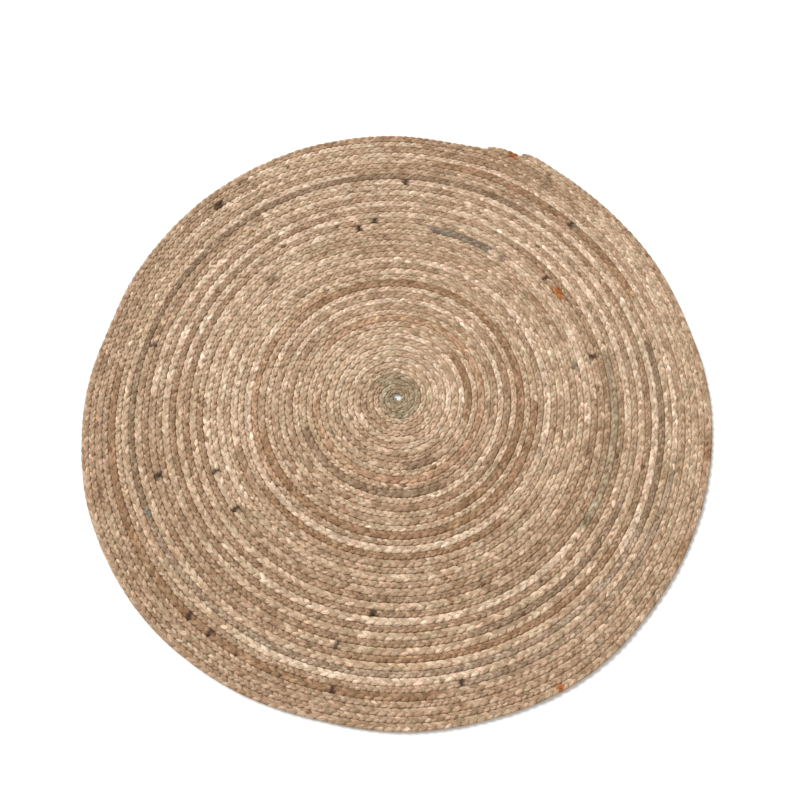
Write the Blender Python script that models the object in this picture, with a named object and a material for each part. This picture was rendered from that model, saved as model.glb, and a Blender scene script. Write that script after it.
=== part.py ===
"""A round jute rug: two three-strand braids laid side by side, coiled flat from the centre and sewn
edge to edge, so the finished rug is one piece. This is its solid: a flat mat of the braid's
thickness, with a round edge and the slightly uneven outline that a hand-sewn coil ends up with.
Metres, +Z up. The origin is the centre of the coil, on the floor."""

from math import cos, exp, pi, radians, sin

import bmesh
import bpy

# Driving sizes
MAT_RADIUS = 0.5985      # mean radius of the outline
MAT_THICKNESS = 0.009    # height of the braid above the floor
RIM_POINTS = 144         # points round the outline, one every 2.5 degrees
EDGE_STEPS = 6           # facets from the underside, round the edge, to the top

# Where the sewn edge swells out or is drawn in.
#   at_deg: direction seen from above, counter-clockwise from +X
#   out_mm: how far the edge moves out (+) or in (-)
#   spread_deg: how far to each side it reaches before it has died away to a third
RIM_SWELLS = (
    # at_deg, out_mm, spread_deg
    (15, -5, 8),
    (46, 5, 11),
    (60, 15, 8),         # the braids come to their end here
    (77, -8, 6),         # and the edge steps in behind them
    (109, 4, 14),
    (148, -6, 8),
    (165, -12, 9),
    (199, 6, 10),
    (220, 9, 18),
    (258, -5, 7),
    (302, 6, 12),
)

JUTE_COLOUR = (0.39, 0.27, 0.16, 1.0)
JUTE_ROUGHNESS = 0.9


def clear_scene():
    for thing in list(bpy.data.objects):
        bpy.data.objects.remove(thing, do_unlink=True)


def rim_radius(direction):
    """Mean radius plus a bell-shaped swell for each row of RIM_SWELLS."""
    radius = MAT_RADIUS
    for at_deg, out_mm, spread_deg in RIM_SWELLS:
        away = (direction - radians(at_deg) + pi) % (2 * pi) - pi
        radius += out_mm / 1000 * exp(-(away / radians(spread_deg)) ** 2)
    return radius


def edge_profile():
    """Half a circle in section: how far in from the rim, and how high, from underside to top."""
    half = MAT_THICKNESS / 2
    steps = [pi * step / EDGE_STEPS for step in range(EDGE_STEPS + 1)]
    return [(half - half * sin(turn), half - half * cos(turn)) for turn in steps]


def rim_ring(mesh, inset, height):
    """One closed ring of points that follows the outline, at one height."""
    ring = []
    for point in range(RIM_POINTS):
        direction = 2 * pi * point / RIM_POINTS
        radius = rim_radius(direction) - inset
        ring.append(mesh.verts.new((radius * cos(direction), radius * sin(direction), height)))
    return ring


def build_mat():
    mesh = bmesh.new()
    rings = [rim_ring(mesh, inset, height) for inset, height in edge_profile()]
    for lower, upper in zip(rings, rings[1:]):
        for point in range(RIM_POINTS):
            after = (point + 1) % RIM_POINTS
            mesh.faces.new((lower[point], lower[after], upper[after], upper[point]))
    mesh.faces.new(list(reversed(rings[0])))
    mesh.faces.new(rings[-1])
    data = bpy.data.meshes.new("braided_mat")
    mesh.to_mesh(data)
    mesh.free()
    data.shade_smooth()
    data.set_sharp_from_angle(angle=radians(35))
    mat = bpy.data.objects.new("braided_mat", data)
    bpy.context.scene.collection.objects.link(mat)
    return mat


def jute_material():
    """Undyed jute yarn: warm straw brown, dry and dull, with no metal in it."""
    material = bpy.data.materials.new("undyed_jute")
    material.use_nodes = True
    shader = material.node_tree.nodes["Principled BSDF"]
    shader.inputs["Base Color"].default_value = JUTE_COLOUR
    shader.inputs["Roughness"].default_value = JUTE_ROUGHNESS
    shader.inputs["Metallic"].default_value = 0.0
    return material


clear_scene()
braided_mat = build_mat()
braided_mat.data.materials.append(jute_material())
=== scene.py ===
"""Looks of the round jute rug: a wide and a narrow three-strand braid of undyed jute, coiled side by
side from the centre and sewn flat. Every strand is modelled, over and under its neighbours, all the
way along the coil. Metres, +Z up, the coil's centre at the origin."""

from math import cos, pi, radians, sin, tau

import bpy
import numpy as np
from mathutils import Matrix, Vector


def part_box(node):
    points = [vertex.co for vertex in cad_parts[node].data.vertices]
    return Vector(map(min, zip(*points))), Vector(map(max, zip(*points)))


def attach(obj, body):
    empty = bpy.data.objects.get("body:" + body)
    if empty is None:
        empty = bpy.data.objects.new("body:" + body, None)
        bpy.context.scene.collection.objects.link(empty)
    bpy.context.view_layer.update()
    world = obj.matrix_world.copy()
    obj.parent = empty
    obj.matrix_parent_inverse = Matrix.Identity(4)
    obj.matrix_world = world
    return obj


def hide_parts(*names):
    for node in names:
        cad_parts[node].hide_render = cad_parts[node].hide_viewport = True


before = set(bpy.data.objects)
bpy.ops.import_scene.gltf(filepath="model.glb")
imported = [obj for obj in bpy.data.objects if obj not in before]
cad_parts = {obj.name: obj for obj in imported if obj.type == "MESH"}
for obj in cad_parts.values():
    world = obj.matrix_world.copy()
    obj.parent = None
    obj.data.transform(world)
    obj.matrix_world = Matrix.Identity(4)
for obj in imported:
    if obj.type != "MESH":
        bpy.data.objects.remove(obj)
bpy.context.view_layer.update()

# ------------------------------------------------------------------ the rug's sizes, in metres
MAT = "braided_mat"
LOW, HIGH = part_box(MAT)
MAT_THICKNESS = HIGH.z - LOW.z
RUG_RADIUS = 0.6                 # nominal: a 120 cm rug

TURN_PITCH = 0.0257              # how much one turn of the coil adds: both braids side by side
TURNS = 23.78                    # turns from the centre to the wide braid's end
END_DEG = 64.5                   # direction in which the wide braid ends
EYE_RADIUS = 0.001               # the coil's inner edge at its start
START_LAG = 0.02525              # the braids start thin: this much radius is missing in the end
START_EASE = 1.3                 # turns over which they reach full width

STRANDS = 3
STEPS_TO_A_PLAIT = 12            # rings of points along a strand in one full plait
STRETCHES = 12                   # mesh pieces each braid is divided into
COIL_SAMPLES = 80001             # places along the whole coil at which its length is added up

FULL_WIDTH = 0.0105              # a braid at least this wide has strands of full thickness
STRAND_HALF_HEIGHT = 0.0026      # half a strand's thickness
STRAND_HALF_WIDTH = 0.33         # half a strand's width, as a share of the braid's
SIDE_SWING = 0.30                # how far a strand swings off the braid's middle, as a share of its width
HEIGHT_SWING = 0.0014            # how far it rises and falls at the crossings
FLOOR_GAP = 0.0002               # strands stay this far above the floor
TOP_GAP = 0.0001                 # and this far below the rug's top
END_TAPER = 0.03                 # length over which a braid grows thin at its end

# The two braids of one turn.
#   inner, outer: the part of the turn's width each takes, from the inner seam outwards
#   lobe: one crossing to the next along the braid
#   past_deg: how far past END_DEG it runs before it stops
#   section: points round a strand as (side, up), from its right edge over the top
BRAIDS = {
    # name: (inner, outer, lobe, past_deg, section)
    "narrow": (0.0, 0.45, 0.0115, 7.0, ((1, -0.1), (0.58, 0.88), (-0.58, 0.88), (-1, -0.1), (0, -1))),
    "wide": (0.45, 1.0, 0.0160, 0.0, ((1, -0.15), (0.74, 0.74), (0, 1), (-0.74, 0.74), (-1, -0.15),
                                      (0, -1))),
}

# How far the sewn rows have wandered off the even spiral, outwards, in the middle of the rug and
# nearer the rim.
ROW_WANDER = (
    # at_deg, middle_mm, outer_mm
    (15, -4.5, -7.7),
    (45, -3.3, -4.6),
    (75, -1.8, 1.8),
    (105, -0.8, 6.2),
    (135, 1.8, 6.2),
    (165, 3.1, 7.2),
    (195, 8.0, 9.3),
    (225, 5.7, 6.9),
    (255, 4.2, 3.3),
    (285, 5.1, 1.5),
    (315, 0.0, 3.1),
    (345, -4.5, -4.4),
)
MIDDLE_RADIUS = 0.225            # where the middle column applies
OUTER_RADIUS = 0.48              # where the outer column applies

# ------------------------------------------------------------------ the jute's colours
# Jute comes in natural lots, from straw to bark; each tone is a lot's usual colour.
TONES = {
    "straw": "#cdb195",
    "sand": "#bfa284",
    "tan": "#b19376",
    "cinnamon": "#b38f70",
    "russet": "#9c7a5b",
    "brown": "#a58669",
    "umber": "#94795f",
    "taupe": "#a78d74",
    "moss": "#a18c70",
    "smoke": "#8a7967",
    "rust": "#a3602f",
    "bark": "#4a3629",
}

# Darker fibre is also redder, paler fibre greyer: how much of a change each channel takes.
CHANNEL_DEPTH = np.array([0.85, 1.0, 1.2])

# Where a new lot of jute was worked in: each runs from its turn to the next one's.
LOTS = {
    # turn, tone
    "wide": (
        (0.0, "moss"), (2.0, "tan"), (2.5, "sand"), (5.36, "umber"), (5.44, "sand"), (5.55, "russet"),
        (5.72, "sand"), (6.1, "cinnamon"), (7.0, "sand"), (7.15, "umber"), (7.42, "tan"),
        (8.32, "brown"), (8.7, "tan"), (9.4, "russet"), (9.97, "tan"), (10.14, "russet"),
        (10.6, "sand"), (11.0, "straw"), (12.15, "tan"), (12.5, "sand"), (12.76, "tan"),
        (12.9, "straw"), (13.2, "sand"), (13.56, "tan"), (13.93, "straw"), (14.2, "tan"),
        (14.58, "straw"), (14.765, "smoke"), (14.82, "sand"), (14.9, "straw"), (15.08, "sand"),
        (15.4, "tan"), (15.75, "straw"), (16.08, "sand"), (16.24, "straw"), (16.5, "moss"),
        (16.64, "straw"), (17.1, "sand"), (17.58, "straw"), (18.1, "tan"), (18.28, "sand"),
        (18.6, "straw"), (18.95, "tan"), (19.1, "sand"), (19.5, "straw"), (19.76, "tan"),
        (19.88, "straw"), (20.0, "sand"), (20.26, "straw"), (20.4, "sand"), (20.67, "russet"),
        (20.83, "sand"), (21.08, "russet"), (21.37, "tan"), (21.78, "brown"), (21.86, "sand"),
        (21.93, "tan"), (22.5, "sand"), (22.74, "brown"), (22.9, "tan"),
    ),
    "narrow": (
        (0.0, "moss"), (2.0, "sand"), (3.08, "tan"), (3.28, "sand"), (3.55, "straw"), (4.2, "tan"),
        (4.36, "straw"), (5.12, "tan"), (5.5, "straw"), (6.05, "sand"), (7.33, "tan"), (7.6, "sand"),
        (8.4, "straw"), (9.1, "sand"), (9.7, "straw"), (10.1, "sand"), (10.94, "cinnamon"),
        (11.2, "tan"), (12.0, "sand"), (12.2, "russet"), (12.46, "tan"), (12.6, "sand"),
        (13.24, "tan"), (13.5, "sand"), (14.2, "tan"), (14.48, "sand"), (15.1, "brown"),
        (15.6, "sand"), (15.8, "tan"), (16.0, "brown"), (16.76, "tan"), (16.9, "brown"),
        (17.6, "tan"), (18.18, "brown"), (18.4, "umber"), (18.53, "tan"), (18.84, "sand"),
        (19.0, "tan"), (19.12, "brown"), (19.32, "russet"), (19.5, "brown"), (19.76, "umber"),
        (20.18, "taupe"), (20.52, "umber"), (20.64, "tan"), (21.0, "sand"), (21.16, "tan"),
        (21.38, "taupe"), (21.56, "straw"), (22.0, "tan"), (22.45, "sand"), (22.64, "straw"),
        (22.73, "tan"), (22.84, "straw"), (22.94, "tan"), (23.55, "sand"),
    ),
}

# Bits of root and bark in the fibre, and odd strands that stand out.
#   at_deg, row: where, counting rows of the same braid outwards from the centre
#   long_mm: how long the mark is, along the braid
BARK_BITS = (
    # braid, at_deg, row, long_mm, tone
    ("narrow", 264, 17, 12, "bark"),
    ("wide", 46, 21, 34, "umber"),
    ("wide", 47, 21, 10, "bark"),
    ("narrow", 57, 23, 20, "umber"),
    ("wide", 57, 23, 22, "umber"),
    ("narrow", 57.5, 24, 16, "umber"),
    ("narrow", 66, 24, 22, "rust"),
    ("wide", 88, 19, 14, "bark"),
    ("wide", 131, 22, 26, "bark"),
    ("narrow", 138, 23, 18, "umber"),
    ("wide", 228, 22, 10, "bark"),
    ("wide", 233, 22, 10, "bark"),
    ("wide", 258, 22, 9, "bark"),
    ("narrow", 282, 22, 9, "bark"),
    ("narrow", 293, 22, 40, "umber"),
    ("wide", 298, 24, 12, "rust"),
    ("wide", 330, 24, 60, "russet"),
    ("wide", 350, 24, 50, "russet"),
    ("wide", 199, 19, 12, "bark"),
    ("narrow", 206, 21, 24, "smoke"),
    ("wide", 257, 19, 9, "bark"),
    ("wide", 284, 16, 16, "russet"),
    ("wide", 294, 16, 12, "umber"),
    ("wide", 203, 15, 8, "bark"),
    ("wide", 216, 15, 9, "bark"),
    ("wide", 13, 16, 12, "bark"),
    ("wide", 35, 16, 30, "rust"),
    ("wide", 41, 16, 8, "bark"),
    ("wide", 55, 15, 22, "umber"),
    ("narrow", 97, 16, 14, "bark"),
    ("wide", 102, 15, 12, "bark"),
    ("narrow", 11, 15, 14, "smoke"),
    ("wide", 37, 14, 34, "russet"),
    ("wide", 135, 14, 24, "umber"),
    ("narrow", 166, 17, 36, "umber"),
    ("wide", 167, 20, 9, "bark"),
)


def linear(hex_colour):
    """sRGB hex to linear red, green, blue."""
    parts = np.array([int(hex_colour[place:place + 2], 16) for place in (1, 3, 5)]) / 255
    return np.where(parts <= 0.04045, parts / 12.92, ((parts + 0.055) / 1.055) ** 2.4)


def value_noise(places, spacing, seed):
    """Smooth random values from -1 to 1 along a line: random numbers every `spacing`, joined by
    cosine steps."""
    places = np.asarray(places) / spacing
    cell = np.floor(places).astype(int)
    low = cell.min()
    knots = np.random.default_rng(seed).uniform(-1, 1, cell.max() - low + 2)
    ease = (1 - np.cos(pi * (places - cell))) / 2
    return knots[cell - low] * (1 - ease) + knots[cell - low + 1] * ease


# ------------------------------------------------------------------ the coil
def seam_radius(turn):
    """Radius of the coil's inner seam after so many turns: an even spiral, less a lag that builds up
    over the first turns because the braids start thin."""
    return EYE_RADIUS + TURN_PITCH * turn - START_LAG * (1 - np.exp(-turn / START_EASE))


def direction_of(turn):
    """Direction in which the coil passes a turn: END_DEG at the last one, a full circle for each."""
    return radians(END_DEG) + tau * (turn - TURNS)


def turn_at(at_deg, row):
    """Turn on which a braid passes a direction in a given row."""
    return row - 1 + (TURNS + (at_deg - END_DEG) / 360) % 1


def even_wave(values, keep):
    """A closed curve of 720 points through values given at even directions, without the ripples
    finer than `keep` to the turn."""
    wave = np.fft.rfft(values)
    fine = np.zeros(361, complex)
    count = min(len(wave), 361)
    fine[:count] = wave[:count] * np.exp(-((np.arange(count) / keep) ** 4))
    return np.fft.irfft(fine, 720) * 720 / len(values)


def rim_outline():
    """Directions and radii of the solid's rim, read from its vertices at mid height."""
    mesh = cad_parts[MAT].data
    places = np.zeros(len(mesh.vertices) * 3, np.float32)
    mesh.vertices.foreach_get("co", places)
    places = places.reshape(-1, 3).astype(float)
    middle = places[np.abs(places[:, 2] - MAT_THICKNESS / 2) < 1e-4]
    direction = np.arctan2(middle[:, 1], middle[:, 0])
    order = np.argsort(direction)
    return direction[order], np.hypot(middle[:, 0], middle[:, 1])[order]


def wander_curves():
    """How far rows lie off the even spiral, for 720 directions: in the middle, further out, and at
    the rim, where they follow the solid's outline. The step where the braids end is smoothed away,
    because it is in the spiral too."""
    table = np.array(ROW_WANDER, float)
    grid = np.arange(720) / 720 * tau
    first = radians(table[0, 0])
    curves = []
    for column in (1, 2):
        curve = even_wave(table[:, column] / 1000, 5.7)
        curves.append(np.interp(grid - first, grid, curve, period=tau))
    rim_at, rim = rim_outline()
    last = TURNS - ((radians(END_DEG) - grid) % tau) / tau
    gap = np.interp(grid, rim_at, rim, period=tau) - seam_radius(last + 1)
    curves.append(even_wave(gap, 20))
    return grid, curves


WANDER_AT, WANDER = wander_curves()


def sewn_radius(radius, direction):
    """Moves radii of the even spiral to where the sewn rug has them, easing from one wander curve to
    the next on the way out."""
    middle, outer, rim = [np.interp(direction, WANDER_AT, curve, period=tau) for curve in WANDER]
    to_middle = np.clip(radius / MIDDLE_RADIUS, 0, 1)
    to_outer = np.clip((radius - MIDDLE_RADIUS) / (OUTER_RADIUS - MIDDLE_RADIUS), 0, 1)
    to_rim = np.clip((radius - OUTER_RADIUS) / (RUG_RADIUS - OUTER_RADIUS), 0, 1.2) ** 1.3
    return radius + middle * to_middle * (1 - to_outer) + outer * to_outer * (1 - to_rim) + rim * to_rim


# ------------------------------------------------------------------ the braids
def last_turn(braid):
    """Turn at which a braid stops: the coil's last, plus the braid's own run past it."""
    return TURNS + BRAIDS[braid][3] / 360


def braid_band(braid, turn):
    """Middle and width of one braid in the even spiral. Its last three centimetres taper, and keep
    to the inner side."""
    share_in, share_out = BRAIDS[braid][:2]
    seam, after = seam_radius(turn), seam_radius(turn + 1)
    inner = seam + share_in * (after - seam)
    width = (share_out - share_in) * (after - seam)
    left = (last_turn(braid) - turn) * tau * RUG_RADIUS
    width = width * (0.45 + 0.55 * np.clip(left / END_TAPER, 0, 1) ** 0.6)
    return inner + width / 2, width


def plait_grid(braid):
    """Plaits made, turn, and length along the braid for every ring of its strands."""
    lobe = BRAIDS[braid][2]
    share = BRAIDS[braid][1] - BRAIDS[braid][0]
    turn = np.linspace(0, last_turn(braid), COIL_SAMPLES)
    middle, width = braid_band(braid, turn)
    arc = np.concatenate([[0], np.cumsum(tau * np.diff(turn) * (middle[1:] + middle[:-1]) / 2)])
    lobe = lobe * (width / (TURN_PITCH * share)) ** 0.7
    lobe = lobe * (1 + 0.12 * value_noise(arc, 0.07, 11 if braid == "wide" else 12))
    plaits = np.concatenate([[0], np.cumsum(np.diff(arc) / (STRANDS * lobe[1:]))])
    rings = int(plaits[-1] * STEPS_TO_A_PLAIT)
    made = np.arange(rings + 1) / STEPS_TO_A_PLAIT
    return made, np.interp(made, plaits, turn), np.interp(made, plaits, arc)


def strand_seed(braid, strand):
    """First seed of a strand's own random values."""
    return 100 + 20 * strand + (0 if braid == "wide" else 10)


def strand_path(braid, strand, made, turn, arc):
    """Centre points, half width and half height of one strand. Seen from above it swings from edge
    to edge of the braid, once a plait, the three strands a third of a swing apart. It lies over its
    neighbours on the way in from an edge and under them on the way out, so it rises and falls twice
    for each swing."""
    seed = strand_seed(braid, strand)
    middle, width = braid_band(braid, turn)
    swing = tau * (made + strand / STRANDS) + 0.16 * value_noise(arc, 0.02, seed)
    thick = np.clip(width / FULL_WIDTH, 0.5, 1.0)
    fat = 1 + 0.14 * value_noise(arc, 0.019, seed + 1) + 0.09 * value_noise(arc, 0.008, seed + 2)
    across = (np.sin(swing) + 0.12 * np.sin(3 * swing)) / 0.885
    radius = middle + width * SIDE_SWING * across + 0.0004 * value_noise(arc, 0.011, seed + 3)
    height = MAT_THICKNESS / 2 - HEIGHT_SWING * thick * np.sin(2 * swing)
    height = height + 0.00035 * value_noise(arc, 0.013, seed + 4)
    direction = direction_of(turn)
    radius = sewn_radius(radius, direction)
    path = np.stack([radius * np.cos(direction), radius * np.sin(direction), height], -1)
    half_width = width * STRAND_HALF_WIDTH * fat
    half_height = STRAND_HALF_HEIGHT * thick * (0.5 + 0.5 * fat)
    return path, half_width, half_height


def strand_rings(path, half_width, half_height, section):
    """Points round a strand: at every ring the section is set across the path, wide side level and
    short side up, and held between the floor and the rug's top."""
    along = np.gradient(path, axis=0)
    along /= np.linalg.norm(along, axis=-1, keepdims=True)
    side = np.cross(along, [0.0, 0.0, 1.0])
    side /= np.linalg.norm(side, axis=-1, keepdims=True)
    up = np.cross(side, along)
    section = np.array(section, float)
    wide = side[:, None] * (half_width[:, None] * section[:, 0])[..., None]
    tall = up[:, None] * (half_height[:, None] * section[:, 1])[..., None]
    rings = path[:, None] + wide + tall
    rings[..., 2] = np.clip(rings[..., 2], FLOOR_GAP, MAT_THICKNESS - TOP_GAP)
    return rings


def pressed_in(rings, braid, turn, arc):
    """Flattens strands against the seams, where the next rows press on them."""
    middle, width = braid_band(braid, turn)
    half = width / 2 + 0.0002 * value_noise(arc, 0.03, 7)
    direction = direction_of(turn)
    inner = sewn_radius(middle - half, direction)[:, None]
    outer = sewn_radius(middle + half, direction)[:, None]
    radius = np.hypot(rings[..., 0], rings[..., 1])
    rings[..., :2] *= (np.clip(radius, inner, outer) / radius)[..., None]
    return rings


def lot_colours(braid, turn):
    """The lot's tone at every ring."""
    starts = np.array([start for start, tone in LOTS[braid]])
    tones = np.array([linear(TONES[tone]) for start, tone in LOTS[braid]])
    return tones[np.clip(np.searchsorted(starts, turn, side="right") - 1, 0, len(tones) - 1)]


def yarn_colours(braid, strand, turn, arc, round_it):
    """Linear colour for every point of a strand. The lot's tone is taken lighter and darker, and
    warmer and cooler, from one crossing to the next and a little from one bundle of fibre to the
    next; some bundles are root ends, near black, and some are bleached."""
    seed = strand_seed(braid, strand) + 500
    changed = turn + 0.004 * value_noise(arc, 0.05, seed)
    colour = lot_colours(braid, changed)
    for kind, at_deg, row, long_mm, tone in BARK_BITS:
        if kind == braid:
            place = turn_at(at_deg, row)
            reach = long_mm / 2000 / (tau * seam_radius(place))
            near = np.exp(-(np.abs(changed * 0.1 + turn * 0.9 - place) / reach) ** 4)
            colour = colour * (1 - near[:, None]) + linear(TONES[tone]) * near[:, None]
    depth = 0.30 * value_noise(arc, 0.017, seed + 1) + 0.26 * value_noise(arc, 0.0075, seed + 2)
    warmth = value_noise(arc, 0.030, seed + 3) + 0.6 * value_noise(arc, 0.011, seed + 4)
    roots = np.clip(value_noise(arc, 0.0085, seed + 5) - 0.90, 0, 0.06) / 0.06
    bleached = np.clip(value_noise(arc, 0.0090, seed + 6) - 0.80, 0, 0.1) / 0.1
    bundles = np.stack([value_noise(arc, 0.008, seed + 7 + point) for point in range(round_it)], -1)
    shade = np.exp(depth[:, None] + 0.16 * bundles + 0.25 * bleached[:, None] - 0.8 * roots[:, None])
    tint = np.stack([0.03 * warmth, -0.02 * warmth, -0.02 * warmth], -1)
    return colour[:, None] * shade[..., None] ** CHANNEL_DEPTH * np.exp(tint)[:, None]


def build_strand(braid, strand, made, turn, arc):
    """Rings of points, colours, and length so far of one strand, from the centre to its end. It
    grows from 15 per cent of its size over its first three rings, and shrinks back over its last."""
    section = BRAIDS[braid][4]
    path, half_width, half_height = strand_path(braid, strand, made, turn, arc)
    ends = np.clip(np.minimum(np.arange(len(made)), np.arange(len(made))[::-1]) / 3, 0.15, 1)
    rings = strand_rings(path, half_width * ends, half_height * ends, section)
    rings = pressed_in(rings, braid, turn, arc)
    length = np.concatenate([[0], np.cumsum(np.linalg.norm(np.diff(path, axis=0), axis=1))])
    return rings, yarn_colours(braid, strand, turn, arc, len(section)), length


# ------------------------------------------------------------------ meshes
def tube_faces(strands, rings, round_it):
    """Corner numbers of closed tubes: four-cornered faces between rings, and one face for each
    end."""
    ring, point = np.meshgrid(np.arange(rings - 1), np.arange(round_it), indexing="ij")
    after = (point + 1) % round_it
    wall = np.stack([ring * round_it + point, (ring + 1) * round_it + point,
                     (ring + 1) * round_it + after, ring * round_it + after], -1).reshape(-1, 4)
    start = np.arange(round_it)
    ends = np.stack([start, (rings - 1) * round_it + start[::-1]])
    steps = np.arange(strands)[:, None, None] * rings * round_it
    return (wall + steps).reshape(-1, 4), (ends + steps).reshape(-1, round_it)


def fibre_places(length, round_it, girth):
    """Where each wall corner lies on the unrolled strand, in metres: length along it, and distance
    round it. Each strand has its own strip, so that no two are marked alike."""
    strands, rings = length.shape
    along = np.broadcast_to(length[:, :-1, None], (strands, rings - 1, round_it))
    ahead = np.broadcast_to(length[:, 1:, None], (strands, rings - 1, round_it))
    strip = 0.1 * np.arange(strands)[:, None, None]
    near = strip + np.broadcast_to(np.arange(round_it) / round_it * girth, along.shape)
    far = near + girth / round_it
    return np.stack([along, near, ahead, near, ahead, far, along, far], -1).reshape(-1, 2)


def bake_places(strands, rings, round_it, ends):
    """A place in the unit square for every corner: the strands unrolled one after another and laid
    in rows, the end faces shrunk into the corner that stays free."""
    count = strands * (rings - 1)
    rows = int(np.ceil(np.sqrt(count / (round_it * 1.6))))
    to_a_row = int(np.ceil(count / rows))
    number = np.arange(count)[:, None]
    point = np.arange(round_it)[None]
    left, width = (number % to_a_row) / to_a_row, 1 / to_a_row
    height = 0.96 / rows
    low = number // to_a_row * height + height * (0.04 + 0.92 * point / round_it)
    high = low + height * 0.92 / round_it
    left = np.broadcast_to(left, low.shape)
    walls = np.stack([left, low, left + width, low, left + width, high, left, high], -1).reshape(-1, 2)
    lap = tau * np.arange(round_it) / round_it
    cap = 0.985 + 0.008 * np.stack([np.cos(lap), np.sin(lap)], -1)
    return np.concatenate([walls, np.tile(cap, (ends, 1))])


def mesh_piece(name, points, walls, ends):
    """A smooth mesh object from arrays of points, four-cornered faces and end faces."""
    mesh = bpy.data.meshes.new(name)
    mesh.vertices.add(len(points))
    mesh.vertices.foreach_set("co", np.ascontiguousarray(points, np.float32).ravel())
    corners = np.concatenate([walls.ravel(), ends.ravel()]).astype(np.int32)
    mesh.loops.add(len(corners))
    mesh.loops.foreach_set("vertex_index", corners)
    first = np.concatenate([np.arange(0, walls.size, 4), np.arange(walls.size, len(corners),
                                                                   ends.shape[1])])
    mesh.polygons.add(len(first))
    mesh.polygons.foreach_set("loop_start", first.astype(np.int32))
    mesh.update(calc_edges=True)
    mesh.shade_smooth()
    piece = bpy.data.objects.new(name, mesh)
    bpy.context.scene.collection.objects.link(piece)
    return piece


def add_places(mesh, name, places):
    """Adds a UV map with a place for every corner."""
    layer = mesh.uv_layers.new(name=name)
    layer.data.foreach_set("uv", np.ascontiguousarray(places, np.float32).ravel())


def wall_area(rings):
    """Area of the strands' walls: half the cross product of each face's diagonals."""
    after = np.roll(rings, -1, axis=2)
    one = rings[:, 1:] - after[:, :-1]
    other = after[:, 1:] - rings[:, :-1]
    return np.linalg.norm(np.cross(one, other), axis=-1).sum() / 2


def braid_stretch(name, rings, colours, length, material):
    """One stretch of a braid as a piece: closed strands, their colours, and maps of where each corner
    lies on the unrolled strands and in the bake square.
    """
    strands, count, round_it = rings.shape[:3]
    walls, ends = tube_faces(strands, count, round_it)
    piece = mesh_piece(name, rings.reshape(-1, 3), walls, ends)
    strand_length = (length[:, -1] - length[:, 0]).mean()
    area = wall_area(rings)
    places = fibre_places(length, round_it, area / strands / strand_length)
    places = np.concatenate([places, np.zeros((ends.size, 2))])
    add_places(piece.data, "fibre", places)
    add_places(piece.data, "OFBake", bake_places(strands, count, round_it, len(ends)))
    yarn = piece.data.color_attributes.new("yarn", "FLOAT_COLOR", "POINT")
    filled = np.concatenate([colours.reshape(-1, 3), np.ones((len(piece.data.vertices), 1))], 1)
    yarn.data.foreach_set("color", np.ascontiguousarray(filled, np.float32).ravel())
    piece.data.materials.append(material)
    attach(piece, "root")
    return piece


def build_braid(braid, material):
    """The whole braid, divided into stretches that share their end rings."""
    made, turn, arc = plait_grid(braid)
    strands = [build_strand(braid, strand, made, turn, arc) for strand in range(STRANDS)]
    rings, colours, length = [np.stack(parts) for parts in zip(*strands)]
    cuts = np.linspace(0, len(made) - 1, STRETCHES + 1).astype(int)
    return [braid_stretch(f"{braid}_braid_{number:02d}", rings[:, first:last + 1],
                          colours[:, first:last + 1], length[:, first:last + 1], material)
            for number, (first, last) in enumerate(zip(cuts, cuts[1:]), 1)]


# ------------------------------------------------------------------ materials
def add_node(material, kind, settings=None, values=None, links=None):
    """Adds a shader node: its settings, the values typed on its sockets, and what feeds them."""
    tree = material.node_tree
    node = tree.nodes.new(kind)
    for name, value in (settings or {}).items():
        setattr(node, name, value)
    for name, value in (values or {}).items():
        node.inputs[name].default_value = value
    for name, source in (links or {}).items():
        tree.links.new(source, node.inputs[name])
    return node


def plain_material(name, colour, rough, specular):
    """A material of one colour, and its shader."""
    material = bpy.data.materials.new(name)
    material.use_nodes = True
    shader = material.node_tree.nodes["Principled BSDF"]
    shader.inputs["Base Color"].default_value = (*linear(colour), 1)
    shader.inputs["Roughness"].default_value = rough
    shader.inputs["Specular IOR Level"].default_value = specular
    return material, shader


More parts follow.
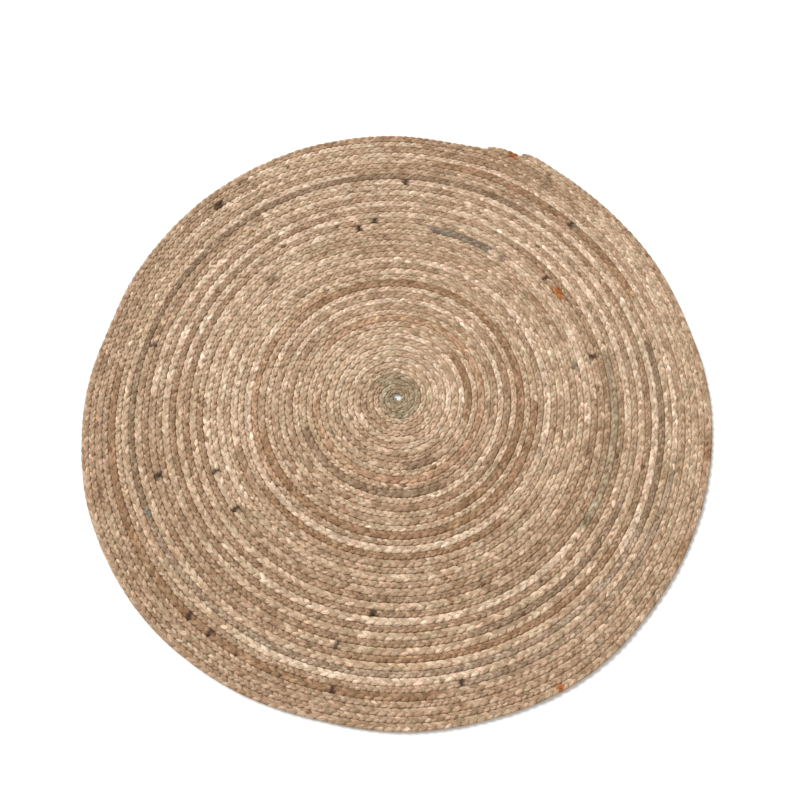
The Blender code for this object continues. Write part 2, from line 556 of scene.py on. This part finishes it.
def jute_material():
    """Loosely twisted jute: matt, a little lustre along the fibre, bundles and single fibres showing
    as fine streaks that run along each strand."""
    material, shader = plain_material("jute_fibre", "#b19376", 0.82, 0.25)
    yarn = add_node(material, "ShaderNodeAttribute", {"attribute_name": "yarn"})
    place = add_node(material, "ShaderNodeUVMap", {"uv_map": "fibre"})
    streaks = []
    # bundles of fibre 2 mm broad, then fibres of 0.5 mm; real ones are 0.1 mm, too fine to see
    for long_mm, broad_mm, detail in ((14, 2.0, 2), (9, 0.5, 1)):
        stretch = add_node(material, "ShaderNodeMapping", {},
                           {"Scale": (1000 / long_mm, 1000 / broad_mm, 1)},
                           {"Vector": place.outputs["UV"]})
        streaks.append(add_node(material, "ShaderNodeTexNoise", {"noise_dimensions": "2D"},
                                {"Scale": 1.0, "Detail": detail, "Roughness": 0.6},
                                {"Vector": stretch.outputs["Vector"]}))
    bundle = add_node(material, "ShaderNodeMapRange", {},
                      {"From Min": 0.3, "From Max": 0.7, "To Min": 0.66, "To Max": 1.30},
                      {"Value": streaks[0].outputs["Fac"]})
    fibre = add_node(material, "ShaderNodeMapRange", {},
                     {"From Min": 0.3, "From Max": 0.7, "To Min": 0.84, "To Max": 1.14},
                     {"Value": streaks[1].outputs["Fac"]})
    both = add_node(material, "ShaderNodeMath", {"operation": "MULTIPLY"})
    material.node_tree.links.new(bundle.outputs["Result"], both.inputs[0])
    material.node_tree.links.new(fibre.outputs["Result"], both.inputs[1])
    shaded = add_node(material, "ShaderNodeVectorMath", {"operation": "SCALE"}, {},
                      {"Vector": yarn.outputs["Color"], "Scale": both.outputs["Value"]})
    relief = add_node(material, "ShaderNodeBump", {}, {"Strength": 0.7, "Distance": 0.0006},
                      {"Height": both.outputs["Value"]})
    material.node_tree.links.new(shaded.outputs["Vector"], shader.inputs["Base Color"])
    material.node_tree.links.new(relief.outputs["Normal"], shader.inputs["Normal"])
    return material


# ------------------------------------------------------------------ stage
def aim(thing, place, target):
    """Puts a camera or lamp at a place and turns it towards a target."""
    thing.location = place
    thing.rotation_euler = (Vector(target) - Vector(place)).to_track_quat("-Z", "Y").to_euler()


def build_floor():
    """A plain white floor, just under the rug so that the two surfaces don't coincide."""
    mesh = bpy.data.meshes.new("floor")
    mesh.from_pydata([(-6, -6, 0), (6, -6, 0), (6, 6, 0), (-6, 6, 0)], [], [(0, 1, 2, 3)])
    floor = bpy.data.objects.new("floor", mesh)
    bpy.context.scene.collection.objects.link(floor)
    floor.location.z = -FLOOR_GAP
    mesh.materials.append(plain_material("white_floor", "#f6f5f3", 0.9, 0.2)[0])


def build_camera():
    """Looks down at the rug from above its near edge, a standing person's eye height."""
    camera = bpy.data.objects.new("camera", bpy.data.cameras.new("camera"))
    bpy.context.scene.collection.objects.link(camera)
    camera.data.lens = 39.6
    camera.data.sensor_width = 36
    camera.data.clip_end = 50
    look = (0.0077 * RUG_RADIUS, -0.0042 * RUG_RADIUS, MAT_THICKNESS / 2)
    away = 2.8111 * RUG_RADIUS
    rise = radians(70.246)
    aim(camera, (look[0], look[1] - away * cos(rise), look[2] + away * sin(rise)), look)
    bpy.context.scene.camera = camera


def build_light():
    """An even white studio with one large soft lamp from the far left."""
    world = bpy.data.worlds.new("studio")
    bpy.context.scene.world = world
    world.use_nodes = True
    world.node_tree.nodes["Background"].inputs["Color"].default_value = (1, 1, 1, 1)
    world.node_tree.nodes["Background"].inputs["Strength"].default_value = 0.62
    lamp = bpy.data.objects.new("key_light", bpy.data.lights.new("key_light", "SUN"))
    bpy.context.scene.collection.objects.link(lamp)
    lamp.data.energy = 2.6
    lamp.data.angle = radians(25)
    aim(lamp, (-1.6, 1.3, 2.2), (0, 0, 0))
    bpy.context.scene.view_settings.view_transform = "Standard"


build_floor()
build_camera()
build_light()
jute = jute_material()
pieces = build_braid("wide", jute) + build_braid("narrow", jute)
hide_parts(MAT)
